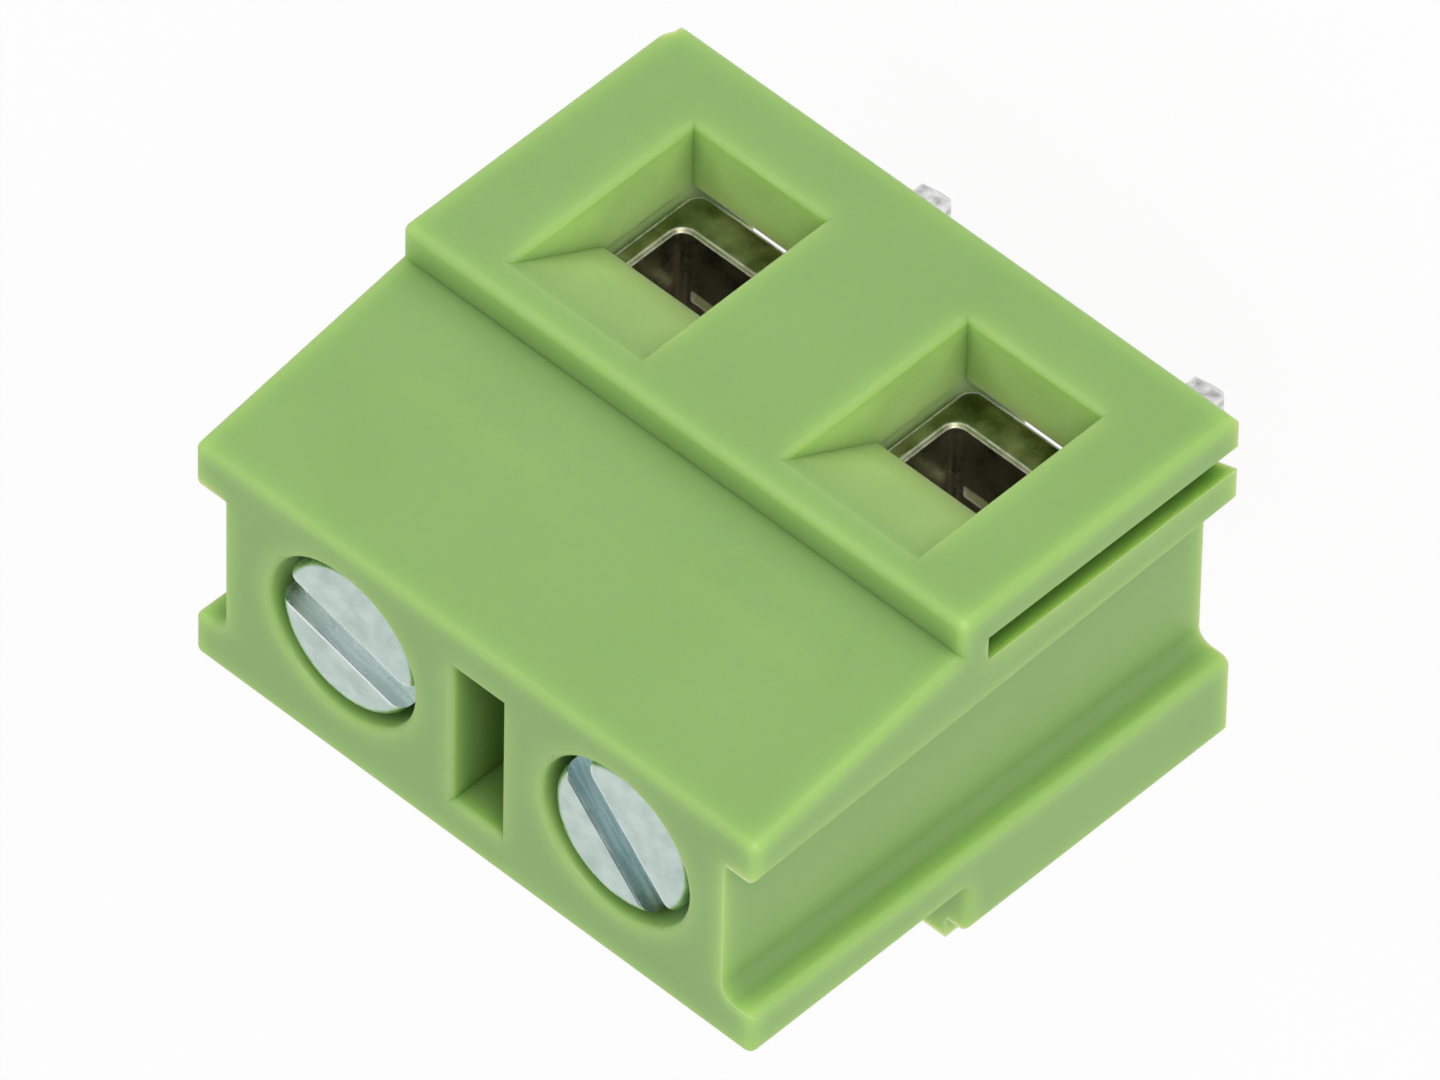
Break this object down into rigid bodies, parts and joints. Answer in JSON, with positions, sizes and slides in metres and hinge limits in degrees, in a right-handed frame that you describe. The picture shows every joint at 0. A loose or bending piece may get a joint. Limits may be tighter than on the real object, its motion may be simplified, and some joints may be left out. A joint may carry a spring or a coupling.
{
  "type": "pcb terminal block",
  "caption": "Rising-cage screw terminal block that solders to a circuit board; a slotted screw above each wire entry lifts a metal cage to clamp the wire.",
  "frame": {"origin": "midway between the two solder pins, in the plane of the circuit board", "axes": "+X along the row of poles, to the right seen from the wire side; +Y to the back, wires enter along +Y; +Z away from the board towards the screw heads"},
  "size_m": [0.016, 0.0098, 0.0174],
  "materials": {
    "green_moulding": "satin light green moulded polyamide",
    "plated_cage": "bright nickel plate over brass",
    "tinned_contact": "bright tin plate over brass",
    "zinc_screw": "blue passivated zinc plate over steel"
  },
  "bodies": {
    "block": {"housing": "green_moulding", "solder_contact_left": "tinned_contact", "solder_contact_right": "tinned_contact"},
    "left_screw": {"clamp_screw_left": "zinc_screw"},
    "left_cage": {"clamp_cage_left": "plated_cage"},
    "right_screw": {"clamp_screw_right": "zinc_screw"},
    "right_cage": {"clamp_cage_right": "plated_cage"}
  },
  "joints": [
    {"name": "left_cage_lift", "type": "slide", "parent": "block", "child": "left_cage", "axis": [0, 0, 1], "range_m": [-0.00065, 0.00183]},
    {"name": "left_screw_turn", "type": "hinge", "parent": "block", "child": "left_screw", "pos_m": [-0.00375, -0.0004, 0.0136], "axis": [0, 0, -1], "range_deg": [-520.5, 1464.5]},
    {"name": "right_cage_lift", "type": "slide", "parent": "block", "child": "right_cage", "axis": [0, 0, 1], "range_m": [-0.00065, 0.00183]},
    {"name": "right_screw_turn", "type": "hinge", "parent": "block", "child": "right_screw", "pos_m": [0.00375, -0.0004, 0.0136], "axis": [0, 0, -1], "range_deg": [-520.5, 1464.5]}
  ],
  "couplings": [
    {"joint": "left_screw_turn", "follows": "left_cage_lift", "rad_per_m": 13963},
    {"joint": "right_screw_turn", "follows": "right_cage_lift", "rad_per_m": 13963}
  ]
}
